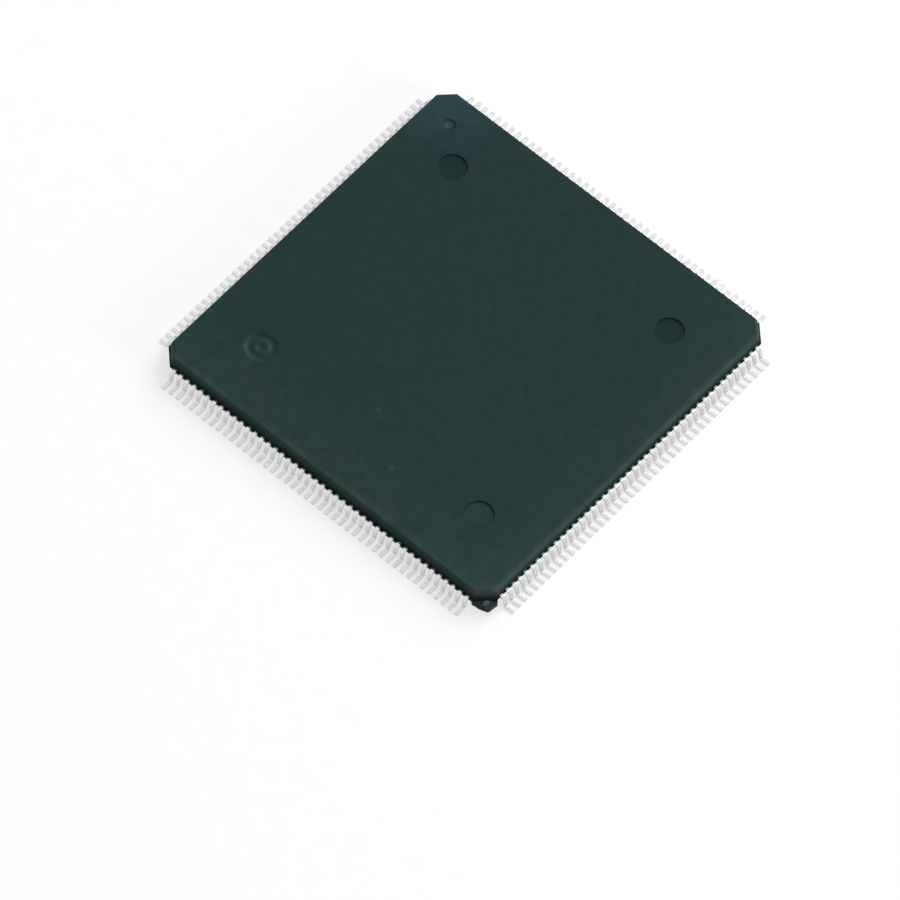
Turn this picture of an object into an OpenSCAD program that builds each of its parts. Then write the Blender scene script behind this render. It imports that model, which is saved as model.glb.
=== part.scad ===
// Quad flat microcontroller package with gull-wing leads on all four sides.
// Millimetres, +Z up, origin at the centre of the plane that the lead feet stand on.
// Lead 1 is next to the (-X, +Y) corner and the mould gate is at the (+X, -Y) corner.

/* [Moulded body] */
// Side of the square body, across its parting line
body_side = 24; // [23.6:0.1:28]
// Thickness of the body
body_height = 1.4; // [1.3:0.05:1.8]
// Clear height under the body
standoff = 0.1; // [0.05:0.01:0.15]
// Draft of the side walls, in degrees from the vertical
wall_draft = 12; // [6:1:15]
// Radius of the top and bottom edges
edge_radius = 0.12; // [0.06:0.01:0.2]
// Leg of the chamfer on each upright corner
corner_leg = 0.9; // [0.5:0.05:1]

/* [Marks on the body] */
// Distance of each ejector mark from the two centre lines
ejector_offset = 8; // [6.5:0.1:9]
// Diameter of the ejector marks
ejector_diameter = 1.7; // [1.2:0.1:2.2]
// Depth of the ejector marks
ejector_depth = 0.1; // [0.07:0.01:0.15]
// Distance from the wall of the ringed ejector mark to its raised ring
ring_margin = 0.29; // [0.2:0.01:0.3]
// Width of the raised ring
ring_width = 0.19; // [0.1:0.01:0.25]
// Height of the raised ring above the floor of its mark
ring_height = 0.055; // [0.02:0.005:0.06]
// Distance of the lead 1 dimple from the two walls
dimple_inset = 2; // [1.2:0.1:2.6]
// Diameter of the lead 1 dimple
dimple_diameter = 0.8; // [0.5:0.05:1]
// Depth of the lead 1 dimple
dimple_depth = 0.08; // [0.04:0.01:0.15]
// Width of the broken mould gate
gate_width = 1.4; // [1:0.1:1.5]
// Length of the broken mould gate outside the corner chamfer
gate_length = 0.55; // [0.3:0.05:0.65]
// Thickness of the broken mould gate
gate_thickness = 0.4; // [0.2:0.05:0.45]

/* [Leads] */
// Leads on each side
leads_per_side = 44; // [36:2:44]
// Distance from lead to lead
lead_pitch = 0.5; // [0.4:0.01:0.5]
// Width of a lead outside the body
lead_width = 0.22; // [0.17:0.01:0.27]
// Thickness of the lead frame
lead_thickness = 0.14; // [0.1:0.01:0.18]
// Distance from the parting line to the lead tips
lead_reach = 1; // [0.96:0.02:1.4]
// Length of the foot
foot_length = 0.6; // [0.4:0.02:0.64]
// Lean of the lead's leg, in degrees from the vertical
leg_lean = 12; // [6:1:16]
// Inner radius of both bends
bend_radius = 0.12; // [0.08:0.01:0.18]

/* [Lead frame inside the body] */
// Straight run of a lead inside the wall, before it fans in
finger_straight = 0.4; // [0.3:0.05:0.6]
// Distance from finger tip to finger tip
tip_pitch = 0.2; // [0.18:0.01:0.21]
// Width of a finger tip
tip_width = 0.11; // [0.08:0.01:0.13]
// Length of the parallel finger tips
tip_length = 0.9; // [0.6:0.1:1.4]
// Side of the die paddle
paddle_side = 9; // [8.4:0.1:9.4]
// Clear distance from the paddle to the finger tips
tip_gap = 0.8; // [0.6:0.1:1.2]
// Drop of the paddle below the leads
paddle_drop = 0.25; // [0.18:0.01:0.3]
// Width of the four tie bars
tie_width = 0.4; // [0.25:0.05:0.5]
// Level run of a tie bar next to the paddle, before it climbs
tie_level = 0.4; // [0.2:0.05:0.8]
// Length that a cut tie bar stands out of the corner
tie_stub = 0.04; // [0.02:0.01:0.1]
// Width of the tape that holds the fingers in line
tape_width = 0.9; // [0.6:0.1:1.2]
// Thickness of the tape
tape_thickness = 0.06; // [0.04:0.01:0.1]
// Distance from the finger tips to the tape
tape_setback = 1.8; // [1.5:0.1:2.4]

/* [Die] */
// Side of the die
die_side = 7; // [6:0.1:8]
// Thickness of the die
die_height = 0.28; // [0.2:0.01:0.32]
// Thickness of the die-attach layer
attach_height = 0.03; // [0.02:0.005:0.05]
// Border of die-attach round the die
attach_border = 0.1; // [0.05:0.05:0.3]

/* [Bond wires] */
// Thickness of a bond wire
wire_size = 0.03; // [0.02:0.005:0.04]
// Rise of the wire loop above the die
loop_rise = 0.18; // [0.12:0.01:0.22]
// Distance of the bond pads from the edge of the die
pad_inset = 0.12; // [0.08:0.01:0.2]
// Distance from the corner of the die to the first pad
pad_corner = 0.4; // [0.3:0.05:0.6]
// Diameter of the pressed ball and length of the stitch at the ends of a wire
bond_length = 0.07; // [0.05:0.01:0.1]
// Distance of the stitch from the finger tip
stitch_setback = 0.25; // [0.15:0.05:0.45]

/* [Hidden] */
$fn = 48;
// Height of the cutters for the marks, more than any mark's depth
cutter = 0.5;
half = body_side / 2;
z_low = standoff;
z_top = standoff + body_height;
z_part = standoff + body_height / 2;
z_lead = z_part - lead_thickness / 2;
z_lead_top = z_lead + lead_thickness;
z_paddle = z_lead - paddle_drop;
z_attach = z_paddle + lead_thickness;
z_die = z_attach + attach_height;
z_die_top = z_die + die_height;
z_loop = z_die_top + loop_rise;
chamfer_out = sqrt(2) * (half - corner_leg / 2);
r_tip = paddle_side / 2 + tip_gap;
r_parallel = r_tip + tip_length;
r_fan = half - finger_straight;
r_pad = die_side / 2 - pad_inset;
r_stitch = r_tip + stitch_setback;
r_tape = r_tip + tape_setback;
pad_pitch = (die_side - 2 * pad_corner) / (leads_per_side - 1);
// Radius of the lead 1 dimple's dish
dish_radius = (dimple_diameter * dimple_diameter / 4 + dimple_depth * dimple_depth) / (2 * dimple_depth);
// Diameters of the raised ring in the ejector mark of the (-X, -Y) corner
ring_outside = ejector_diameter - 2 * ring_margin;
ring_inside = ring_outside - 2 * ring_width;
// Broken edge of the gate: place across it and reach, as shares of its width and its length
gate_edge = [[-0.5, 0], [-0.25, 0.6], [0.0625, 1], [0.1875, 0.95], [0.5, 0.3]];
// Loop of a bond wire: size of its knee, share of the span at half its fall, middle of the pressed stitch
wire_knee = 3 * wire_size;
fall_share = 0.6;
z_stitch = z_lead_top + 0.4 * wire_size;
// Bends of a lead: turn, radius of the middle line, and where the leg's middle line meets shoulder and foot
bend_turn = 90 - leg_lean;
bend_mid = bend_radius + lead_thickness / 2;
bend_tangent = bend_mid * tan(bend_turn / 2);
r_foot = half + lead_reach - foot_length;
r_shoulder = r_foot - (z_part - lead_thickness / 2) * tan(leg_lean);
r_bend = r_shoulder - bend_tangent;
r_join = (half + r_bend) / 2;
c_mould = "#2a3d3c";
c_tin = "#c3c6c8";
c_copper = "#b87a4f";
c_silicon = "#59606b";
c_paste = "#a9a9a4";
c_gold = "#d8aa4a";
c_tape = "#a5651f";

// Place of lead i counted from the middle of its side
function place(i) = i - (leads_per_side - 1) / 2;

// Unit normal of the stretch from point a to point b
function normal(a, b) = [a[1] - b[1], b[0] - a[0]] / norm(b - a);

// Offset of point i of an open path by distance d, mitred at its bends
function offset_point(path, i, d) =
    let (n1 = i > 0 ? normal(path[i - 1], path[i]) : normal(path[0], path[1]))
    let (n2 = i < len(path) - 1 ? normal(path[i], path[i + 1]) : n1)
    path[i] + d * (n1 + n2) / (1 + n1 * n2);

// Outline of a strip of the given width along an open path
function strip(path, width) = concat(
    [for (i = [0 : len(path) - 1]) offset_point(path, i, width / 2)],
    [for (i = [len(path) - 1 : -1 : 0]) offset_point(path, i, -width / 2)]);

// Points of an outline, none of them below the given level
function seated(points, level) = [for (p = points) [p[0], max(p[1], level)]];

// Upper right quarter of the body's section for a wall whose parting line is at distance h
function quarter_section(h, steps = 5) =
    let (r = edge_radius)
    let (rise = body_height / 2)
    let (centre = [h - (rise - r) * tan(wall_draft) - r / cos(wall_draft), rise - r])
    let (step = (90 - wall_draft) / steps)
    [for (k = [0 : steps]) let (a = wall_draft + k * step) centre + r * [cos(a), sin(a)]];

// Whole section of the body between two opposite walls
function body_section(h) =
    let (q = quarter_section(h))
    let (last = len(q) - 1)
    concat([[h, 0]], q, [for (k = [last : -1 : 0]) [-q[k][0], q[k][1]]],
           [[-h, 0]], [for (k = [0 : last]) -q[k]], [for (k = [last : -1 : 0]) [q[k][0], -q[k][1]]]);

// Outline of a finger and its shoulder from above, with the outward direction along -Y
function finger_outline(i) =
    let (s = place(i) * lead_pitch)
    let (t = place(i) * tip_pitch)
    [[s - lead_width / 2, -r_join], [s + lead_width / 2, -r_join],
     [s + lead_width / 2, -r_fan], [t + tip_width / 2, -r_parallel], [t + tip_width / 2, -r_tip],
     [t - tip_width / 2, -r_tip], [t - tip_width / 2, -r_parallel], [s - lead_width / 2, -r_fan]];

// Points on an arc round a centre, counted in degrees from the upward direction and turning outward
function bend_arc(centre, radius, from, to, steps = 5) =
    [for (k = [0 : steps]) let (a = from + k * (to - from) / steps) centre + radius * [sin(a), cos(a)]];

// Middle line of the formed end of a lead: bend, leg, bend and foot, outward along +X and upward along +Y
function formed_path() = concat(
    [[r_join, z_part]],
    bend_arc([r_bend, z_part - bend_mid], bend_mid, 0, bend_turn),
    bend_arc([r_foot + bend_tangent, lead_thickness / 2 + bend_mid], bend_mid, 180 + bend_turn, 180),
    [[half + lead_reach, lead_thickness / 2]]);

// Turns one side's pieces to side k: 0 front, 1 right, 2 rear, 3 left
module on_side(k) {
    rotate([0, 0, 90 * k])
        children();
}

// Slab of the body between two opposite walls at distance h, turned about the vertical
module wall_pair(h, turn) {
    translate([0, 0, z_part])
        rotate([0, 0, turn])
            rotate([90, 0, 0])
                linear_extrude(3 * half, center = true)
                    polygon(body_section(h));
}

// Part of the moulding gate left at the corner when the runner was broken off
module gate() {
    rotate([0, 0, -45])
        translate([chamfer_out, 0, z_lead - gate_thickness])
            linear_extrude(gate_thickness)
                polygon(concat([[-corner_leg, -gate_width / 2]],
                               [for (e = gate_edge) [e[1] * gate_length, e[0] * gate_width]],
                               [[-corner_leg, gate_width / 2]]));
}

// Cutter for an ejector mark whose floor is at height 0
module mark_cutter() {
    cylinder(h = cutter, d = ejector_diameter);
}

// Cutter for an ejector mark with a raised ring on its floor
module ringed_cutter() {
    difference() {
        mark_cutter();
        translate([0, 0, -cutter])
            difference() {
                cylinder(h = cutter + ring_height, d = ring_outside);
                cylinder(h = 2 * cutter, d = ring_inside);
            }
    }
}

// Cutters for the four ejector marks in the top
module top_marks() {
    translate([0, 0, z_top - ejector_depth]) {
        for (p = [[1, -1], [1, 1], [-1, 1]])
            translate(ejector_offset * p)
                mark_cutter();
        translate(ejector_offset * [-1, -1])
            ringed_cutter();
    }
}

// Cutters for the four ejector marks in the underside
module under_marks() {
    translate([0, 0, z_low + ejector_depth - cutter])
        for (x = [-1, 1], y = [-1, 1])
            translate(ejector_offset * [x, y])
                mark_cutter();
}

// Cutter for the lead 1 dimple
module dimple_cutter() {
    translate([dimple_inset - half, half - dimple_inset, z_top - dimple_depth + dish_radius])
        sphere(r = dish_radius);
}

// Outside of the moulding with its ejector marks and the lead 1 dimple
module body_form() {
    difference() {
        union() {
            intersection() {
                wall_pair(half, 0);
                wall_pair(half, 90);
                wall_pair(chamfer_out, 45);
                wall_pair(chamfer_out, 135);
            }
            gate();
        }
        top_marks();
        under_marks();
        dimple_cutter();
    }
}

// Fingers of one side, flat from their tips to the shoulder outside the wall
module finger_row() {
    translate([0, 0, z_lead])
        for (i = [0 : leads_per_side - 1])
            linear_extrude(lead_thickness)
                polygon(finger_outline(i));
}

// Formed ends of one side's leads
module formed_row() {
    for (i = [0 : leads_per_side - 1])
        translate([place(i) * lead_pitch + lead_width / 2, 0, 0])
            rotate([90, 0, -90])
                linear_extrude(lead_width)
                    polygon(strip(formed_path(), lead_thickness));
}

// Leads of one side
module lead_row() {
    finger_row();
    formed_row();
}

// Paddle under the die with its four tie bars to the corners
module paddle_form() {
    climb = paddle_side / sqrt(2) + tie_level;
    path = [[paddle_side / 2, 0], [climb, 0], [climb + paddle_drop, paddle_drop],
            [chamfer_out + tie_stub, paddle_drop]];
    translate([-paddle_side / 2, -paddle_side / 2, z_paddle])
        cube([paddle_side, paddle_side, lead_thickness]);
    for (k = [0 : 3])
        rotate([0, 0, 45 + 90 * k])
            translate([0, tie_width / 2, z_paddle + lead_thickness / 2])
                rotate([90, 0, 0])
                    linear_extrude(tie_width)
                        polygon(strip(path, lead_thickness));
}

// Square ring of tape across the fingers and the tie bars
module tape_form() {
    translate([0, 0, z_lead_top])
        linear_extrude(tape_thickness)
            difference() {
                square(2 * (r_tape + tape_width), center = true);
                square(2 * r_tape, center = true);
            }
}

module attach_form() {
    side = die_side + 2 * attach_border;
    translate([-side / 2, -side / 2, z_attach])
        cube([side, side, attach_height]);
}

module die_form() {
    translate([-die_side / 2, -die_side / 2, z_die])
        cube([die_side, die_side, die_height]);
}

// One bond wire: ball on the die, rise, knee, long fall and stitch on the finger, in an upright plane
module wire(i) {
    from = [place(i) * pad_pitch, -r_pad];
    to = [place(i) * tip_pitch, -r_stitch];
    span = norm(to - from);
    path = [[0, z_die_top + wire_size / 2], [0, z_loop - wire_knee], [wire_knee, z_loop],
            [span * fall_share, (z_loop + z_stitch) / 2],
            [span - bond_length / 2, z_stitch], [span + bond_length / 2, z_stitch]];
    translate([from[0], from[1], 0])
        rotate([0, 0, atan2(to[1] - from[1], to[0] - from[0])]) {
            translate([0, 0, z_die_top])
                cylinder(h = wire_size, d = bond_length);
            translate([0, wire_size / 2, 0])
                rotate([90, 0, 0])
                    linear_extrude(wire_size)
                        polygon(seated(strip(path, wire_size), z_lead_top));
        }
}

module wire_row() {
    for (i = [0 : leads_per_side - 1])
        wire(i);
}

// Moulding compound, with the space that each piece inside it fills
module mould_body() {
    color(c_mould)
        difference() {
            body_form();
            for (k = [0 : 3])
                on_side(k)
                    finger_row();
            for (k = [0 : 3])
                on_side(k)
                    wire_row();
            paddle_form();
            tape_form();
            attach_form();
            die_form();
        }
}

module leads_front() {
    color(c_tin)
        on_side(0)
            lead_row();
}

module leads_right() {
    color(c_tin)
        on_side(1)
            lead_row();
}

module leads_rear() {
    color(c_tin)
        on_side(2)
            lead_row();
}

module leads_left() {
    color(c_tin)
        on_side(3)
            lead_row();
}

module die_paddle() {
    color(c_copper)
        paddle_form();
}

module lead_tape() {
    color(c_tape)
        tape_form();
}

module die_attach() {
    color(c_paste)
        attach_form();
}

module die() {
    color(c_silicon)
        die_form();
}

module bond_wires_front() {
    color(c_gold)
        on_side(0)
            wire_row();
}

module bond_wires_right() {
    color(c_gold)
        on_side(1)
            wire_row();
}

module bond_wires_rear() {
    color(c_gold)
        on_side(2)
            wire_row();
}

module bond_wires_left() {
    color(c_gold)
        on_side(3)
            wire_row();
}

mould_body();
leads_front();
leads_right();
leads_rear();
leads_left();
die_paddle();
lead_tape();
die_attach();
die();
bond_wires_front();
bond_wires_right();
bond_wires_rear();
bond_wires_left();
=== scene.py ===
"""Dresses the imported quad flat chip: moulded body, lead rows, lead frame and die, on a white table."""

import math
import random

import bmesh
import bpy
from mathutils import Matrix, Vector, noise


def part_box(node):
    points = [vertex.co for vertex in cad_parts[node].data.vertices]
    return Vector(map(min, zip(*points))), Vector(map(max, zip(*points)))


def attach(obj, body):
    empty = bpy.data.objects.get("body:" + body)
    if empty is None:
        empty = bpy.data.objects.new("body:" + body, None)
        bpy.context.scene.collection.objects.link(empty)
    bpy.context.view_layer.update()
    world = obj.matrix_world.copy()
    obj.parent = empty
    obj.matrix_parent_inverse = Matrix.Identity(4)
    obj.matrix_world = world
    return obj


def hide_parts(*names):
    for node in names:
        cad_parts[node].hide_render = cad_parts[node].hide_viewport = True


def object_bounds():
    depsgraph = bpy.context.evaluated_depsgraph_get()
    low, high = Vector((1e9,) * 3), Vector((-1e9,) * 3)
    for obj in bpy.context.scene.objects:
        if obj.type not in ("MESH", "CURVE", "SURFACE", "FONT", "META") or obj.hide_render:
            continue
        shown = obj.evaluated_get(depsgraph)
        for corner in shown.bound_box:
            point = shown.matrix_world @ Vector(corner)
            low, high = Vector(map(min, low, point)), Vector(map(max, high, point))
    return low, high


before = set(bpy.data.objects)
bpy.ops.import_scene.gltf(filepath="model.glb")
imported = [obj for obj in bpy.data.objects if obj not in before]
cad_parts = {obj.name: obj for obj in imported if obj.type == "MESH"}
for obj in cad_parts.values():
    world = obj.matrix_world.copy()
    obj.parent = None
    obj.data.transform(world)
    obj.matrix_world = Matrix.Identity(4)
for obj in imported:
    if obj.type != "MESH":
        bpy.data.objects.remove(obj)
cad_low, cad_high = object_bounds()

MM = 0.001

# Sizes read from the frame
body_low, body_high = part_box("mould_body")
HALF = -body_low.x
Z_LOW = body_low.z
Z_TOP = body_high.z
Z_PART = (Z_LOW + Z_TOP) / 2
RISE = Z_TOP - Z_PART
REACH = cad_high.x

# Moulded body
DRAFT = math.radians(12)
EDGE_RADIUS = 0.12 * MM
EDGE_STEPS = 7
CORNER_LEG = 0.9 * MM
CORNER_ROUND = 0.12 * MM
CORNER_STEPS = 5
CHAMFER_OUT = math.sqrt(2) * (HALF - CORNER_LEG / 2)
LIP_OUT = 0.06 * MM
LIP_HALF = 0.012 * MM
LIP_TAPER = 0.6
BODY_CREASE = math.radians(35)

# Width of the flat strip round an edge or a mark, which keeps the shading of the flat even
HOLD = 0.03 * MM

# Marks in the top and the underside
MARK_OFFSET = 8 * MM
MARK_RADIUS = 0.85 * MM
MARK_DEPTH = 0.1 * MM
MARK_SLOPE = 0.03 * MM
MARK_MIDDLE = 0.2 * MARK_RADIUS
CIRCLE_STEPS = 72

# Rim of a plain mark: places outwards from its radius, and shares of its depth
MARK_RIM = (
    (HOLD, 0),
    (HOLD / 2, 0),
    (HOLD / 10, 0.15),
    (-0.2 * MARK_SLOPE, 0.5),
    (-0.4 * MARK_SLOPE, 0.85),
    (-MARK_SLOPE, 1),
)

# Worn mark with a ring
RINGED_RADIUS = 1.0 * MM
RINGED_FLOOR = 0.72 * MM
RING_OUTSIDE = 0.66 * MM
RING_INSIDE = 0.08 * MM
RING_HEIGHT = 0.06 * MM
SLOPE_STEPS = 6

# Lead 1 dimple: its rings are shares of its radius
DIMPLE_INSET = 2 * MM
DIMPLE_RADIUS = 0.4 * MM
DIMPLE_DEPTH = 0.08 * MM
DIMPLE_RIM = 1.01
# Rings in painted shade round the rim, then rings with a painted highlight in the middle
DIMPLE_SHADE_RINGS = (0.97, 0.9, 0.8, 0.7, 0.62)
DIMPLE_HIGHLIGHT_RINGS = (0.5, 0.35, 0.15)

# Noise cells in a metre
MOTTLE_CELLS = 1400
FRACTURE_CELLS = 5200
FILLER_CELLS = 26000
GRAIN_CELLS = 15000
CLOUD_CELLS = 350
PATCH_CELLS = 1100
METAL_GRAIN_CELLS = 30000
PAPER_CELLS = 900

# The middle of a noise, where most of its values are
NOISE_LOW = 0.3
NOISE_HIGH = 0.7

# How far roughness changes to both sides
COMPOUND_VARIES = 0.05
METAL_VARIES = 0.07
FILM_VARIES = 0.04

# Finish of the moulding compound: gloss, and the painted highlight on its rounded edges
GLOSS = 0.085
ROUND_EDGE_HIGHLIGHT = 1.1

# Colours at places of a noise: specks of filler, and clouds
FLECKS = ((0.66, (0, 0, 0)), (0.78, (0.05, 0.06, 0.06)))
CLOUDS = ((0.35, (0.95, 0.98, 1.04)), (0.65, (1.04, 1.02, 0.97)))

# Least and greatest share of a painted highlight band that shows
PATCHES = (0.45, 1.0)

# Changes over the body: value at the start, value at the end, and the distances where they start and end
# Painted light: the top grows paler towards its near end
TOP_PAINTED_LIGHT = (0.91, 1.0, -10 * MM, 14 * MM)
CORNER_TONES = (0.95, 1.04, 11.5 * MM, 15.5 * MM)
FAR_SHARES = (1, 0, 1.5 * MM, 5 * MM)
# Painted shade low on the walls by the leads, rising to a painted highlight on the rounded top edge, which
# the flat top takes back off
WALL_PAINTED_LIGHT = (0.43, ROUND_EDGE_HIGHLIGHT, 0.06 * MM, RISE - EDGE_RADIUS)
FLAT_TONES = (1.0, 1 / ROUND_EDGE_HIGHLIGHT, RISE - 0.1 * EDGE_RADIUS, RISE)
WALL_GLOSS = (0.02, GLOSS, 0.03 * MM, RISE - EDGE_RADIUS)

# Direction in which painted light makes the top paler, and the bluer far corner
PAINTED_LIGHT_WAY = (0.447, -0.894, 0)
FAR_CORNER = (-HALF, HALF, Z_TOP)
FAR_TINT = (1.47, 1.28, 1.62)


def near_side(x, y, reach, fall, pace=1):
    """Direction and reach of a side. The distance from it is pace times (way inwards + fall times depth)."""
    return (pace * x, pace * y, pace * fall), pace * (reach + fall * Z_TOP)


FRONT_WIDE = near_side(0, -1, HALF, 12)
FRONT = near_side(0, -1, HALF, 3)
RIGHT = near_side(1, 0, HALF, 1, 1.5)
CORNER = near_side(math.sqrt(0.5), -math.sqrt(0.5), CHAMFER_OUT, 0)

# Pale bands of painted highlight along near sides: sides, tint, and the distances where a band starts and
# where it is full
NEAR_SIDE_HIGHLIGHTS = (
    ((FRONT_WIDE, RIGHT, CORNER), (1.35, 1.125, 1.07), 5 * MM, 0.8 * MM),
    ((FRONT, RIGHT, CORNER), (1.54, 1.28, 1.28), 0.75 * MM, 0.3 * MM),
    ((RIGHT,), (1.25, 1.1, 1.09), 0.75 * MM, 0.3 * MM),
    ((CORNER,), (1.16, 0.92, 1.0), 0.75 * MM, 0.3 * MM),
)

# Soft spots: x, y, radius and tone. Smudges on the top, painted highlight and painted shade at the ringed
# mark, painted shade in the far marks
SMUDGES = (
    (-0.5 * MM, -6.7 * MM, 0.28 * MM, 1.4),
    (2.5 * MM, -9.0 * MM, 0.34 * MM, 1.4),
)
RINGED_MARK_LIGHT = (
    (-8.71 * MM, -8.63 * MM, 0.45 * MM, 1.2),
    (-7.95 * MM, -9.18 * MM, 0.4 * MM, 1.2),
    (-8.55 * MM, -7.31 * MM, 0.4 * MM, 0.7),
)
SHADES = (
    (-8.12 * MM, 8.55 * MM, 1.3 * MM, 0.78),
    (7.88 * MM, 8.55 * MM, 1.3 * MM, 0.78),
)

# Share of a spot's radius that has its full tone
SPOT_CORE = 0.2

# Broken mould gate at the near corner
GATE_WIDTH = 1.4 * MM
GATE_LENGTH = 0.55 * MM
GATE_THICKNESS = 0.4 * MM
GATE_ROOT = 0.45 * MM
GATE_CUTS = 15
GATE_SEED = 8
GATE_CELL = 0.16 * MM
GATE_OCTAVES = 4
GATE_ROUGH_MM = 0.03

# Line of the break: places across the gate as shares of its width, and shares of its length
GATE_BREAK = ((-0.5, 0.0), (-0.25, 0.6), (0.0625, 1.0), (0.1875, 0.95), (0.5, 0.3))

# Painted highlight on one facet of the break: its middle, its spread as above, and its tint
GATE_HIGHLIGHT = (11.72 * MM, -11.61 * MM, 0.73 * MM)
GATE_HIGHLIGHT_SHARES = (1, 0, 0.08 * MM, 0.26 * MM)
GATE_HIGHLIGHT_TINT = (4.4, 4.4, 4.4)

# Dull ends of the tie bars: their spread from the middle of the chip, and their colour
DULL_SHARES = (0, 1, 15 * MM, 16 * MM)
DULL_COLOUR = (0.05, 0.052, 0.05)

# Leads
LEADS = 44
PITCH = 0.5 * MM
LEAD_WIDTH = 0.22 * MM
LEAD_THICKNESS = 0.14 * MM
FOOT_LENGTH = 0.6 * MM
LEG_LEAN = math.radians(12)
BEND_RADIUS = 0.12 * MM
FOOT_STEPS = 8
LEAD_ROUND = 0.018 * MM
ROUND_STEPS = 2
LEAD_CREASE = math.radians(20)
DAM_PROUD = 0.014 * MM
DAM_STEP = 0.004 * MM
END_BEVEL = 0.006 * MM
SKEW = 0.006 * MM
SKEW_SEED = 7
FINGER_STRAIGHT = 0.4 * MM
TIP_PITCH = 0.2 * MM
TIP_WIDTH = 0.11 * MM
R_TIP = 5.3 * MM
R_PARALLEL = 6.2 * MM

# Stations of a lead's upper bend as shares of its turn: with the dam-bar remains, and after them
DAM_SHARES = (0.0, 0.16, 0.32)
BEND_SHARES = (0.35, 0.5, 0.62, 0.75, 0.88, 1.0)

BEND_TURN = math.pi / 2 - LEG_LEAN
BEND_MID = BEND_RADIUS + LEAD_THICKNESS / 2
BEND_TANGENT = BEND_MID * math.tan(BEND_TURN / 2)
Z_LEAD = Z_PART - LEAD_THICKNESS / 2
R_FOOT = REACH - FOOT_LENGTH
R_BEND = R_FOOT - Z_LEAD * math.tan(LEG_LEAN) - BEND_TANGENT

# Camera, as fitted to the photograph: angles in radians, lengths in metres, sensor in millimetres
VIEW_AZIMUTH = math.radians(38.52)
VIEW_ELEVATION = math.radians(58.63)
VIEW_ROLL = math.radians(3.27)
VIEW_DISTANCE = 0.5603
VIEW_ASIDE = -0.00082
VIEW_UP = -0.00538
FOCAL_PIXELS = 10116
IMAGE_PIXELS = 900
SENSOR = 36
CLIP_NEAR = 0.01
CLIP_FAR = 5

# Light of the room, as a share of the level at which white renders as white
AMBIENT = 0.43

# Lamps: level as such a share, azimuth, elevation, size and whether gloss shows them
LAMP_DISTANCE = 0.4
LAMPS = {
    "soft_box": (0.82, math.radians(85), math.radians(36), 0.3, True),
    "side_light": (0.55, math.radians(10), math.radians(15), 0.15, False),
}

# White table
FLOOR_SIZE = 1.6
FLOOR_DROP = 0.01 * MM
FLOOR_TONE = 0.36
FLOOR_VARIES = 0.01
FLOOR_ROUGHNESS = 0.9
FLOOR_GLOW = 0.66


# Materials

# Sockets of a node that mixes colours
MIX_SHARE = 0
MIX_FIRST = 6
MIX_SECOND = 7
MIX_RESULT = 2


def node_material(name):
    """A node material with a principled shader, its node tree and that shader."""
    material = bpy.data.materials.new(name)
    material.use_nodes = True
    tree = material.node_tree
    return material, tree, tree.nodes["Principled BSDF"]


def base_colour(material):
    """A material's node tree, the socket of its base colour and the colour that feeds it."""
    tree = material.node_tree
    base = tree.nodes["Principled BSDF"].inputs["Base Color"]
    return tree, base, base.links[0].from_socket


def add(tree, kind, **inputs):
    """A node of this kind with some of its input sockets set."""
    node = tree.nodes.new(kind)
    for key, value in inputs.items():
        node.inputs[key].default_value = value
    return node


def own_place(tree):
    """Places in the object's own coordinates."""
    return add(tree, "ShaderNodeTexCoord").outputs["Object"]


def noise_at(tree, cells, detail=3.0, rough=0.55):
    """A noise factor in the object's own coordinates, with so many cells in a metre."""
    texture = add(tree, "ShaderNodeTexNoise", Scale=cells, Detail=detail, Roughness=rough)
    tree.links.new(own_place(tree), texture.inputs["Vector"])
    return texture.outputs["Fac"]


def ramp(tree, source, stops):
    """The colour of a ramp fed by a factor, from two (position, colour) stops."""
    node = tree.nodes.new("ShaderNodeValToRGB")
    for element, (position, colour) in zip(node.color_ramp.elements, stops):
        element.position = position
        element.color = (*colour, 1)
    tree.links.new(source, node.inputs["Fac"])
    return node.outputs["Color"]


def spread(tree, source, first, last, start=NOISE_LOW, end=NOISE_HIGH):
    """A value that goes smoothly from first to last as the source goes from start to end."""
    node = tree.nodes.new("ShaderNodeMapRange")
    node.interpolation_type = "SMOOTHSTEP"
    node.inputs["From Min"].default_value = start
    node.inputs["From Max"].default_value = end
    node.inputs["To Min"].default_value = first
    node.inputs["To Max"].default_value = last
    tree.links.new(source, node.inputs["Value"])
    return node.outputs["Result"]


def vector_sum(tree, kind, source, value):
    """The outputs of a sum of this kind on a vector and a constant one."""
    node = tree.nodes.new("ShaderNodeVectorMath")
    node.operation = kind
    node.inputs[1].default_value = value
    tree.links.new(source, node.inputs[0])
    return node.outputs


def distance_from(tree, point, flatten=(1, 1, 1)):
    """How far a place on the object is from a point, along the axes that flatten keeps."""
    kept = vector_sum(tree, "MULTIPLY", own_place(tree), flatten)["Vector"]
    return vector_sum(tree, "DISTANCE", kept, point)["Value"]


def along(tree, way):
    """How far a place on the object lies along a direction."""
    return vector_sum(tree, "DOT_PRODUCT", own_place(tree), way)["Value"]


def sums(tree, kind, first, second):
    """The result of a sum of this kind on two values, each a socket or a number."""
    node = tree.nodes.new("ShaderNodeMath")
    node.operation = kind
    for socket, value in zip(node.inputs, (first, second)):
        if isinstance(value, float):
            socket.default_value = value
        else:
            tree.links.new(value, socket)
    return node.outputs["Value"]


def edge_distance(tree, sides):
    """How far a place on the body is from the nearest of these sides."""
    distances = [sums(tree, "SUBTRACT", reach, along(tree, way)) for way, reach in sides]
    nearest = distances[0]
    for distance in distances[1:]:
        nearest = sums(tree, "MINIMUM", nearest, distance)
    return nearest


def colour_mix(tree, kind):
    """A node that mixes two colours in this way."""
    node = tree.nodes.new("ShaderNodeMix")
    node.data_type = "RGBA"
    node.blend_type = kind
    return node


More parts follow.
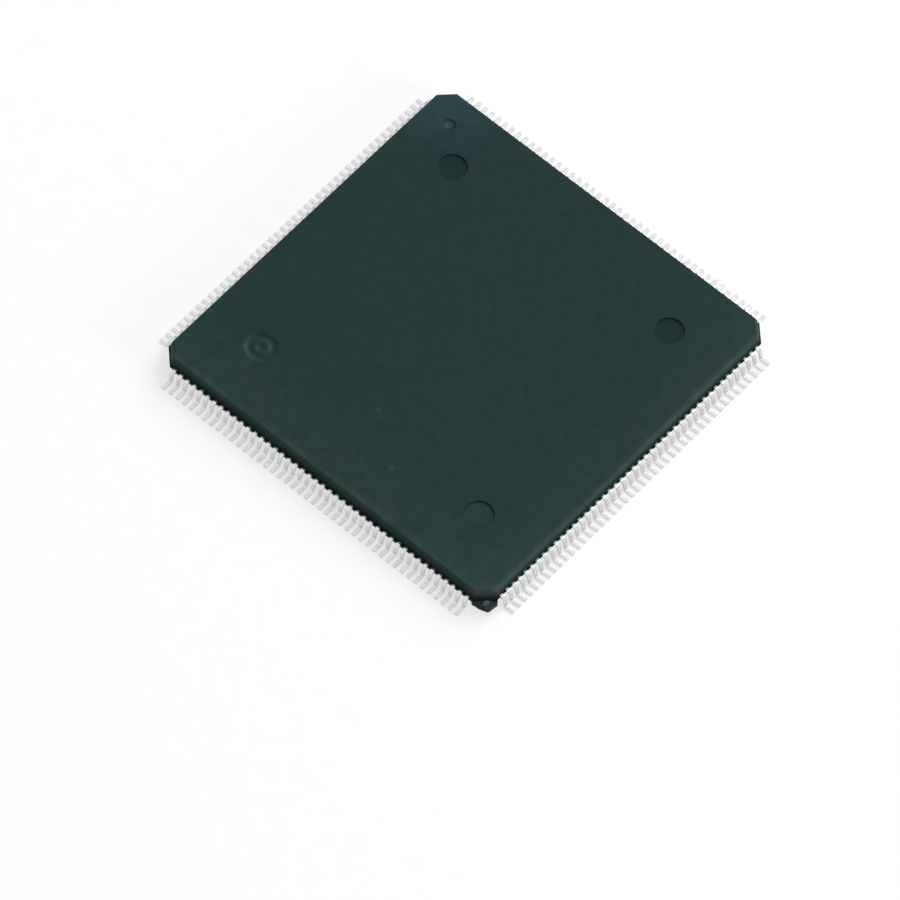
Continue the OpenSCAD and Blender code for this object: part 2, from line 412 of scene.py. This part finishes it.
def tinted(tree, colour, share, tint, kind="MULTIPLY"):
    """A colour mixed with a tint, as far as a factor from 0 to 1 says."""
    node = colour_mix(tree, kind)
    tree.links.new(share, node.inputs[MIX_SHARE])
    tree.links.new(colour, node.inputs[MIX_FIRST])
    node.inputs[MIX_SECOND].default_value = (*tint, 1)
    return node.outputs[MIX_RESULT]


def blend(tree, kind, first, second):
    """Two colours, or a colour and a factor, blended in full by this kind of mix."""
    node = colour_mix(tree, kind)
    node.inputs[MIX_SHARE].default_value = 1
    tree.links.new(first, node.inputs[MIX_FIRST])
    tree.links.new(second, node.inputs[MIX_SECOND])
    return node.outputs[MIX_RESULT]


def bump(tree, shader, source, height):
    """Bumps the shader's normal by a factor, height in metres."""
    node = add(tree, "ShaderNodeBump", Strength=1.0, Distance=height)
    tree.links.new(source, node.inputs["Height"])
    tree.links.new(node.outputs["Normal"], shader.inputs["Normal"])


def compound_material(name, dark, light, roughness, grain, cells=MOTTLE_CELLS, contrast=0.2):
    """Moulding compound: mottled colour, fine matt grain of the mould's surface, pale specks of filler."""
    material, tree, shader = node_material(name)
    mottle = noise_at(tree, cells, detail=5.0, rough=0.65)
    colour = ramp(tree, mottle, [(0.5 - contrast, dark), (0.5 + contrast, light)])
    flecks = ramp(tree, noise_at(tree, FILLER_CELLS, detail=1.0), FLECKS)
    tree.links.new(blend(tree, "ADD", colour, flecks), shader.inputs["Base Color"])
    rough = spread(tree, mottle, roughness - COMPOUND_VARIES, roughness + COMPOUND_VARIES)
    tree.links.new(rough, shader.inputs["Roughness"])
    bump(tree, shader, noise_at(tree, GRAIN_CELLS), grain)
    shader.inputs["Specular IOR Level"].default_value = GLOSS
    return material


def clouds_and_painted_light(tree, colour):
    """A colour with the body's slow changes: clouds, painted light that pales the near end, paler corners, a
    bluer far corner.
    """
    clouds = ramp(tree, noise_at(tree, CLOUD_CELLS, detail=2.0), CLOUDS)
    colour = blend(tree, "MULTIPLY", colour, clouds)
    # Painted light: paler towards the near end
    colour = blend(tree, "MULTIPLY", colour, spread(tree, along(tree, PAINTED_LIGHT_WAY), *TOP_PAINTED_LIGHT))
    corners = spread(tree, distance_from(tree, (0, 0, 0), (1, 1, 0)), *CORNER_TONES)
    colour = blend(tree, "MULTIPLY", colour, corners)
    far = spread(tree, distance_from(tree, FAR_CORNER), *FAR_SHARES)
    return tinted(tree, colour, far, FAR_TINT)


def painted_edge_highlights(tree, colour):
    """A colour with patchy pale bands of painted highlight along the near edges."""
    patches = spread(tree, noise_at(tree, PATCH_CELLS, detail=2.0), *PATCHES)
    for sides, tint, start, full in NEAR_SIDE_HIGHLIGHTS:
        band = spread(tree, edge_distance(tree, sides), 1, 0, full, start)
        colour = tinted(tree, colour, sums(tree, "MULTIPLY", band, patches), tint)
    return colour


def tone_and_painted_light(material):
    """Gives the body uneven tone and painted light: painted highlight along the near and rounded edges,
    painted shade low on the walls, and dull walls.
    """
    tree, base, colour = base_colour(material)
    colour = painted_edge_highlights(tree, clouds_and_painted_light(tree, colour))
    height = distance_from(tree, (0, 0, Z_PART), (0, 0, 1))
    # Painted shade low on the walls and a painted highlight on the rounded edge
    for tones in (WALL_PAINTED_LIGHT, FLAT_TONES):
        colour = blend(tree, "MULTIPLY", colour, spread(tree, height, *tones))
    tree.links.new(colour, base)
    gloss = spread(tree, height, *WALL_GLOSS)
    tree.links.new(gloss, tree.nodes["Principled BSDF"].inputs["Specular IOR Level"])


def spotted(material, spots):
    """Changes the tone of a material's colour in soft round spots on the top."""
    tree, base, colour = base_colour(material)
    for x, y, radius, tone in spots:
        spot = spread(tree, distance_from(tree, (x, y, Z_TOP)), tone, 1.0, SPOT_CORE * radius, radius)
        colour = blend(tree, "MULTIPLY", colour, spot)
    tree.links.new(colour, base)


def paint_gate_highlight(material):
    """Paints a highlight on one facet in the middle of the broken gate."""
    tree, base, colour = base_colour(material)
    facet = spread(tree, distance_from(tree, GATE_HIGHLIGHT), *GATE_HIGHLIGHT_SHARES)
    tree.links.new(tinted(tree, colour, facet, GATE_HIGHLIGHT_TINT), base)


def dull_ends(material):
    """Dulls the lead frame where its tie bars are cut off at the body's corners."""
    tree, base, colour = base_colour(material)
    ends = spread(tree, distance_from(tree, (0, 0, 0), (1, 1, 0)), *DULL_SHARES)
    tree.links.new(tinted(tree, colour, ends, DULL_COLOUR, "MIX"), base)


def metal_material(name, dark, light, roughness, cells, grain):
    """Metal with patchy tone and roughness and a fine grain."""
    material, tree, shader = node_material(name)
    patches = noise_at(tree, cells, detail=4.0, rough=0.6)
    colour = ramp(tree, patches, [(NOISE_LOW, dark), (NOISE_HIGH, light)])
    tree.links.new(colour, shader.inputs["Base Color"])
    rough = spread(tree, patches, roughness + METAL_VARIES, roughness - METAL_VARIES)
    tree.links.new(rough, shader.inputs["Roughness"])
    bump(tree, shader, noise_at(tree, METAL_GRAIN_CELLS, detail=2.0), grain)
    shader.inputs["Metallic"].default_value = 1.0
    return material


def film_material(name, dark, light, roughness, cells, metallic):
    """A smooth layer hidden in the moulding, with a slight change of tone."""
    material, tree, shader = node_material(name)
    patches = noise_at(tree, cells)
    colour = ramp(tree, patches, [(NOISE_LOW, dark), (NOISE_HIGH, light)])
    tree.links.new(colour, shader.inputs["Base Color"])
    rough = spread(tree, patches, roughness - FILM_VARIES, roughness + FILM_VARIES)
    tree.links.new(rough, shader.inputs["Roughness"])
    shader.inputs["Metallic"].default_value = metallic
    return material


# Materials of the pieces: grain is the height of the bumps in metres
compound = compound_material(
    "mould_compound", dark=(0.0102, 0.0303, 0.0289), light=(0.0153, 0.0402, 0.0388),
    roughness=0.56, grain=1.6e-6,
)
tone_and_painted_light(compound)
# Dust smudges on the top; painted highlight and painted shade at the ringed mark
spotted(compound, SMUDGES + RINGED_MARK_LIGHT)
faint = compound_material(
    "mark_faint", dark=(0.0124, 0.0353, 0.0331), light=(0.0148, 0.0399, 0.0376),
    roughness=0.5, grain=0.6e-6,
)
# Painted highlight and painted shade in the ringed mark
spotted(faint, RINGED_MARK_LIGHT)
# Darker compound in painted shade, for the walls of marks, the floors of the far marks and the dimple's rim
smooth = compound_material(
    "mark_in_painted_shade", dark=(0.0044, 0.0228, 0.0221), light=(0.0057, 0.0263, 0.0258),
    roughness=0.5, grain=0.5e-6,
)
# Painted shade, darkest towards the far side of the far marks
spotted(smooth, SHADES)
# Pale middle of the dimple: painted highlight
dish = compound_material(
    "dimple_painted_highlight", dark=(0.0235, 0.052, 0.054), light=(0.029, 0.061, 0.063),
    roughness=0.4, grain=0.4e-6,
)
broken = compound_material(
    "mould_fracture", dark=(0.0158, 0.0233, 0.0234), light=(0.045, 0.057, 0.056),
    roughness=0.75, grain=6e-6, cells=FRACTURE_CELLS, contrast=0.1,
)
# Painted highlight on one facet of the broken gate
paint_gate_highlight(broken)
tin = metal_material(
    "tin_plate", dark=(0.64, 0.645, 0.65), light=(0.73, 0.73, 0.73),
    roughness=0.25, cells=2500, grain=0.6e-6,
)
cut_end = metal_material(
    "cut_copper", dark=(0.62, 0.50, 0.42), light=(0.80, 0.74, 0.70),
    roughness=0.42, cells=9000, grain=1e-6,
)
frame_copper = metal_material(
    "frame_copper", dark=(0.55, 0.33, 0.2), light=(0.66, 0.42, 0.28),
    roughness=0.4, cells=3000, grain=0.6e-6,
)
dull_ends(frame_copper)
gold = metal_material(
    "bond_gold", dark=(0.80, 0.56, 0.20), light=(0.9, 0.66, 0.28),
    roughness=0.25, cells=9000, grain=0.2e-6,
)
silicon = film_material(
    "silicon", dark=(0.10, 0.11, 0.14), light=(0.14, 0.15, 0.19),
    roughness=0.18, cells=4000, metallic=0.4,
)
paste = film_material(
    "silver_paste", dark=(0.42, 0.42, 0.40), light=(0.56, 0.56, 0.54),
    roughness=0.5, cells=9000, metallic=0.3,
)
amber = film_material(
    "polyimide_film", dark=(0.36, 0.14, 0.02), light=(0.48, 0.2, 0.03),
    roughness=0.25, cells=2500, metallic=0.0,
)


# Mesh helpers

def finish_mesh(bm, name, materials, crease):
    """Makes an object of a bmesh: outward normals, smooth but for edges that turn by more than the crease."""
    bmesh.ops.recalc_face_normals(bm, faces=bm.faces)
    mesh = bpy.data.meshes.new(name)
    bm.to_mesh(mesh)
    bm.free()
    for material in materials:
        mesh.materials.append(material)
    mesh.shade_smooth()
    mesh.set_sharp_from_angle(angle=crease)
    piece = bpy.data.objects.new(name, mesh)
    bpy.context.scene.collection.objects.link(piece)
    return piece


def bridge(bm, low, high, material=0):
    """Quads between two closed loops of as many vertices."""
    count = len(low)
    for i in range(count):
        j = (i + 1) % count
        bm.faces.new((low[i], low[j], high[j], high[i])).material_index = material


def loop_edges(bm, loop):
    """The edges round a closed loop of vertices, made where they are missing."""
    pairs = zip(loop, loop[1:] + loop[:1])
    return [bm.edges.get(pair) or bm.edges.new(pair) for pair in pairs]


# Moulded body

# Places of its materials
COMPOUND, FAINT, SHADED_MARK, DISH_HIGHLIGHT, BROKEN = range(5)


def corner_arc(before, at, after):
    """Points of the rounding at a corner of an anticlockwise outline."""
    way = (at - before).normalized()
    onward = (after - at).normalized()
    turn = math.atan2(way.cross(onward), way.dot(onward))
    start = at - way * CORNER_ROUND * math.tan(turn / 2)
    centre = start + Vector((-way.y, way.x)) * CORNER_ROUND
    turns = [turn * k / CORNER_STEPS for k in range(CORNER_STEPS + 1)]
    return [centre + Matrix.Rotation(a, 2) @ (start - centre) for a in turns]


def body_outline(inset):
    """The body's outline from above, drawn in by inset from the parting line, anticlockwise."""
    h = HALF - inset
    near = math.sqrt(2) * (CHAMFER_OUT - inset) - h
    places = [(h, -near), (h, near), (near, h), (-near, h)]
    places += [(-h, near), (-h, -near), (-near, -h), (near, -h)]
    corners = [Vector(place) for place in places]
    points = []
    for i, at in enumerate(corners):
        points += corner_arc(corners[i - 1], at, corners[(i + 1) % len(corners)])
    return points


def upper_wall():
    """(inset, height above the parting line) up the wall, round the top edge and onto the flat."""
    centre_up = RISE - EDGE_RADIUS
    centre_in = centre_up * math.tan(DRAFT) + EDGE_RADIUS / math.cos(DRAFT)
    profile = [(-LIP_OUT, LIP_HALF * LIP_TAPER), (0.0, LIP_HALF)]
    for k in range(EDGE_STEPS + 1):
        a = DRAFT + k * (math.pi / 2 - DRAFT) / EDGE_STEPS
        profile.append((centre_in - EDGE_RADIUS * math.cos(a), centre_up + EDGE_RADIUS * math.sin(a)))
    profile.append((centre_in + HOLD, RISE))
    return profile


def mark_profile(floor):
    """(radius, depth, material) rings of an ejector mark, from the flat round it to its floor, with its wall
    dark in painted shade.
    """
    profile = [(MARK_RADIUS + r, MARK_DEPTH * d, SHADED_MARK if d else COMPOUND) for r, d in MARK_RIM]
    return profile + [(MARK_MIDDLE, MARK_DEPTH, floor)]


def eased(share):
    """A share with a soft start and a soft end, which goes back to 0 as the share goes on to 2."""
    return (1 - math.cos(math.pi * share)) / 2


def ringed_profile():
    """(radius, depth, material) rings of the worn ejector mark: a sloped wall and a soft ring."""
    profile = [(RINGED_RADIUS + HOLD, 0, COMPOUND), (RINGED_RADIUS, 0, COMPOUND)]
    for k in range(1, SLOPE_STEPS + 1):
        share = k / SLOPE_STEPS
        radius = RINGED_RADIUS + (RINGED_FLOOR - RINGED_RADIUS) * share
        profile.append((radius, MARK_DEPTH * eased(share), FAINT))
    for k in range(2 * SLOPE_STEPS + 1):
        share = k / SLOPE_STEPS
        radius = RING_OUTSIDE + (RING_INSIDE - RING_OUTSIDE) * share / 2
        profile.append((radius, MARK_DEPTH - RING_HEIGHT * eased(share), FAINT))
    return profile


def dimple_profile():
    """(radius, depth, material) rings of the lead 1 dimple, a dish with painted shade round a painted
    highlight in its middle.
    """
    profile = [(DIMPLE_RADIUS + HOLD, 0, COMPOUND), (DIMPLE_RADIUS * DIMPLE_RIM, 0, COMPOUND)]
    for material, shares in ((SHADED_MARK, DIMPLE_SHADE_RINGS), (DISH_HIGHLIGHT, DIMPLE_HIGHLIGHT_RINGS)):
        profile += [(DIMPLE_RADIUS * r, DIMPLE_DEPTH * (1 - r * r), material) for r in shares]
    return profile


def recess(bm, x, y, z, up, profile):
    """Sinks a round mark into a face at height z that looks up (1) or down (-1); returns its outer loop."""
    angles = [2 * math.pi * k / CIRCLE_STEPS for k in range(CIRCLE_STEPS)]
    loops = []
    for radius, depth, _ in profile:
        loop = [(x + radius * math.cos(a), y + radius * math.sin(a), z - up * depth) for a in angles]
        loops.append([bm.verts.new(place) for place in loop])
    for outer, inner, (_, _, material) in zip(loops, loops[1:], profile[1:]):
        bridge(bm, outer, inner, material)
    bm.faces.new(loops[-1]).material_index = profile[-1][2]
    return loops[0]


def body_face(bm, rim, z, up, marks):
    """Fills the flat inside a rim round its marks."""
    edges = loop_edges(bm, rim)
    for x, y, profile in marks:
        edges += loop_edges(bm, recess(bm, x, y, z, up, profile))
    bmesh.ops.triangle_fill(bm, use_beauty=True, use_dissolve=False, edges=edges)


def gate_reach(across):
    """How far the broken gate stands out of the chamfer at a place across it."""
    share = across / GATE_WIDTH
    for (a, low), (b, high) in zip(GATE_BREAK, GATE_BREAK[1:]):
        if share <= b:
            return GATE_LENGTH * (low + (high - low) * (share - a) / (b - a))
    return GATE_LENGTH * GATE_BREAK[-1][1]


def add_gate(bm):
    """Makes the broken gate as a rough block at the near corner, in a mesh that is still empty."""
    bmesh.ops.create_cube(bm, size=2)
    bmesh.ops.subdivide_edges(bm, edges=bm.edges[:], cuts=GATE_CUTS, use_grid_fill=True)
    turn = Matrix.Rotation(math.radians(-45), 3, "Z")
    noise.seed_set(GATE_SEED)
    for vert in bm.verts:
        u, v, w = vert.co
        across = v * GATE_WIDTH / 2
        share = (u + 1) / 2
        out = -GATE_ROOT + (GATE_ROOT + gate_reach(across)) * share
        height = Z_LEAD - GATE_THICKNESS * (1 - w) / 2
        place = Vector((CHAMFER_OUT + out, across, height))
        rough = noise.turbulence_vector(place / GATE_CELL, GATE_OCTAVES, False)
        vert.co = turn @ (place + rough * GATE_ROUGH_MM * MM * share)
    for face in bm.faces:
        face.material_index = BROKEN


def make_body():
    """The moulded body: drafted walls, rounded edges, parting lip, marks and broken gate."""
    bm = bmesh.new()
    add_gate(bm)
    wall = upper_wall()
    profile = [(inset, -h) for inset, h in reversed(wall)] + wall
    loops = []
    for inset, h in profile:
        loops.append([bm.verts.new((p.x, p.y, Z_PART + h)) for p in body_outline(inset)])
    for low, high in zip(loops, loops[1:]):
        bridge(bm, low, high)
    near = mark_profile(FAINT)
    # The far marks have floors in painted shade
    far = mark_profile(SHADED_MARK)
    top = [
        (MARK_OFFSET, -MARK_OFFSET, near),
        (MARK_OFFSET, MARK_OFFSET, far),
        (-MARK_OFFSET, MARK_OFFSET, far),
        (-MARK_OFFSET, -MARK_OFFSET, ringed_profile()),
        (DIMPLE_INSET - HALF, HALF - DIMPLE_INSET, dimple_profile()),
    ]
    under = [(x * MARK_OFFSET, y * MARK_OFFSET, near) for x in (-1, 1) for y in (-1, 1)]
    body_face(bm, loops[-1], Z_TOP, 1, top)
    body_face(bm, loops[0], Z_LOW, -1, under)
    piece = finish_mesh(bm, "moulding", [compound, faint, smooth, dish, broken], BODY_CREASE)
    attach(piece, "root")
    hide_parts("mould_body")


# Leads

# Places of their materials
TIN, CUT = range(2)


def lead_section(width, thickness):
    """(sideways, upward) points round a lead's rounded section, anticlockwise."""
    points = []
    for k, (x, y) in enumerate(((1, -1), (1, 1), (-1, 1), (-1, -1))):
        for n in range(ROUND_STEPS + 1):
            a = math.pi / 2 * (k - 1 + n / ROUND_STEPS)
            sideways = x * (width / 2 - LEAD_ROUND) + LEAD_ROUND * math.cos(a)
            upward = y * (thickness / 2 - LEAD_ROUND) + LEAD_ROUND * math.sin(a)
            points.append((sideways, upward))
    return points


def lead_stations(place, skew):
    """(sideways, outward, height, lean, width) along a lead from its finger tip to the end of its foot."""
    wall = place * PITCH
    tip = place * TIP_PITCH
    rows = [
        (tip, R_TIP, Z_PART, 0, TIP_WIDTH),
        (tip, R_PARALLEL, Z_PART, 0, TIP_WIDTH),
        (wall, HALF - FINGER_STRAIGHT, Z_PART, 0, LEAD_WIDTH),
        (wall, HALF, Z_PART, 0, LEAD_WIDTH),
        (wall, R_BEND - DAM_STEP, Z_PART, 0, LEAD_WIDTH),
    ]
    upper = [(share, LEAD_WIDTH + 2 * DAM_PROUD) for share in DAM_SHARES]
    upper += [(share, LEAD_WIDTH) for share in BEND_SHARES]
    for share, width in upper:
        a = BEND_TURN * share
        out = R_BEND + BEND_MID * math.sin(a)
        height = Z_PART - BEND_MID * (1 - math.cos(a))
        rows.append((wall, out, height, a, width))
    for k in range(FOOT_STEPS + 1):
        a = BEND_TURN * (1 - k / FOOT_STEPS)
        out = R_FOOT + BEND_TANGENT - BEND_MID * math.sin(a)
        height = LEAD_THICKNESS / 2 + BEND_MID * (1 - math.cos(a))
        rows.append((wall + skew * k / FOOT_STEPS, out, height, a, LEAD_WIDTH))
    rows.append((wall + skew, REACH - END_BEVEL, LEAD_THICKNESS / 2, 0, LEAD_WIDTH))
    return rows


def add_lead(bm, place, skew, turn):
    """Adds one lead as a rounded strip along its stations, with a bevelled cut end."""
    loops = []
    rows = lead_stations(place, skew)
    end = rows[-1]
    sections = [(row, 0.0) for row in rows] + [((end[0], REACH, *end[2:]), END_BEVEL)]
    for (side, out, height, lean, width), shrink in sections:
        loop = []
        for x, y in lead_section(width - 2 * shrink, LEAD_THICKNESS - 2 * shrink):
            place_out = out + y * math.sin(lean)
            place_up = height + y * math.cos(lean)
            loop.append(bm.verts.new(turn @ Vector((side + x, -place_out, place_up))))
        loops.append(loop)
    for low, high in zip(loops, loops[1:]):
        bridge(bm, low, high, TIN)
    bm.faces.new(loops[0]).material_index = TIN
    bm.faces.new(loops[-1]).material_index = CUT


def make_leads(side, quarter, chance):
    """One side's row of leads."""
    bm = bmesh.new()
    turn = Matrix.Rotation(math.pi / 2 * quarter, 3, "Z")
    for i in range(LEADS):
        add_lead(bm, i - (LEADS - 1) / 2, chance.uniform(-SKEW, SKEW), turn)
    piece = finish_mesh(bm, "lead_row_" + side, [tin, cut_end], LEAD_CREASE)
    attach(piece, "root")
    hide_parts("leads_" + side)


def dress(node, material):
    """Gives a material to a CAD node that the scene keeps."""
    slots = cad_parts[node].data.materials
    slots.clear()
    slots.append(material)


# Floor, light and camera

def path_share(tree):
    """A factor that is 1 for rays from the camera, from gloss and through glass, and 0 for light."""
    path = tree.nodes.new("ShaderNodeLightPath")
    total = path.outputs["Is Camera Ray"]
    for name in ("Is Glossy Ray", "Is Transmission Ray"):
        total = sums(tree, "MAXIMUM", total, path.outputs[name])
    return total


def make_floor():
    """A white table that keeps a soft shadow of the chip."""
    half = FLOOR_SIZE / 2
    corners = [(-half, -half, 0), (half, -half, 0), (half, half, 0), (-half, half, 0)]
    mesh = bpy.data.meshes.new("table")
    mesh.from_pydata(corners, [], [(0, 1, 2, 3)])
    floor = bpy.data.objects.new("table", mesh)
    floor.location.z = -FLOOR_DROP
    bpy.context.scene.collection.objects.link(floor)
    material, tree, shader = node_material("white_table")
    dark = (FLOOR_TONE - FLOOR_VARIES,) * 3
    light = (FLOOR_TONE + FLOOR_VARIES,) * 3
    paper = ramp(tree, noise_at(tree, PAPER_CELLS), [(NOISE_LOW, dark), (NOISE_HIGH, light)])
    tree.links.new(paper, shader.inputs["Base Color"])
    shader.inputs["Roughness"].default_value = FLOOR_ROUGHNESS
    shader.inputs["Specular IOR Level"].default_value = 0.0
    shader.inputs["Emission Color"].default_value = (FLOOR_GLOW, FLOOR_GLOW, FLOOR_GLOW, 1)
    tree.links.new(path_share(tree), shader.inputs["Emission Strength"])
    mesh.materials.append(material)


def make_world():
    """An even white room: soft light for surfaces, plain white for the camera and for gloss."""
    world = bpy.data.worlds.new("white_room")
    bpy.context.scene.world = world
    world.use_nodes = True
    tree = world.node_tree
    soft = tree.nodes["Background"]
    soft.inputs["Color"].default_value = (1, 1, 1, 1)
    soft.inputs["Strength"].default_value = AMBIENT
    white = add(tree, "ShaderNodeBackground", Color=(1, 1, 1, 1), Strength=1.0)
    mix = tree.nodes.new("ShaderNodeMixShader")
    tree.links.new(path_share(tree), mix.inputs["Fac"])
    tree.links.new(soft.outputs["Background"], mix.inputs[1])
    tree.links.new(white.outputs["Background"], mix.inputs[2])
    tree.links.new(mix.outputs["Shader"], tree.nodes["World Output"].inputs["Surface"])


def make_lamp(name, level, azimuth, elevation, size, glossy):
    """A round soft box that looks at the chip from this side and height."""
    lamp = bpy.data.lights.new(name, "AREA")
    lamp.shape = "DISK"
    lamp.size = size
    lamp.energy = math.pi ** 2 * LAMP_DISTANCE ** 2 * level
    box = bpy.data.objects.new(name, lamp)
    box.visible_glossy = glossy
    flat = math.cos(elevation)
    way = Vector((flat * math.cos(azimuth), flat * math.sin(azimuth), math.sin(elevation)))
    box.location = way * LAMP_DISTANCE
    box.rotation_euler = way.to_track_quat("Z", "Y").to_euler()
    bpy.context.scene.collection.objects.link(box)


def make_camera():
    """The photograph's camera, far away with a long lens."""
    data = bpy.data.cameras.new("camera")
    data.sensor_width = SENSOR
    data.lens = FOCAL_PIXELS / IMAGE_PIXELS * SENSOR
    data.clip_start = CLIP_NEAR
    data.clip_end = CLIP_FAR
    flat = math.cos(VIEW_ELEVATION)
    sine = math.sin(VIEW_AZIMUTH)
    cosine = math.cos(VIEW_AZIMUTH)
    back = Vector((sine * flat, -cosine * flat, math.sin(VIEW_ELEVATION)))
    right = Matrix.Rotation(VIEW_ROLL, 3, back) @ Vector((cosine, sine, 0))
    up = back.cross(right)
    place = back * VIEW_DISTANCE + right * VIEW_ASIDE + up * VIEW_UP
    axes = Matrix((right, up, back)).transposed().to_4x4()
    camera = bpy.data.objects.new("camera", data)
    camera.matrix_world = Matrix.Translation(place) @ axes
    bpy.context.scene.collection.objects.link(camera)
    bpy.context.scene.camera = camera


make_body()
chance = random.Random(SKEW_SEED)
for quarter, side in enumerate(("front", "right", "rear", "left")):
    make_leads(side, quarter, chance)
    dress("bond_wires_" + side, gold)
dress("die_paddle", frame_copper)
dress("lead_tape", amber)
dress("die_attach", paste)
dress("die", silicon)
make_floor()
make_world()
for name, values in LAMPS.items():
    make_lamp(name, *values)
make_camera()
bpy.context.scene.view_settings.view_transform = "Standard"
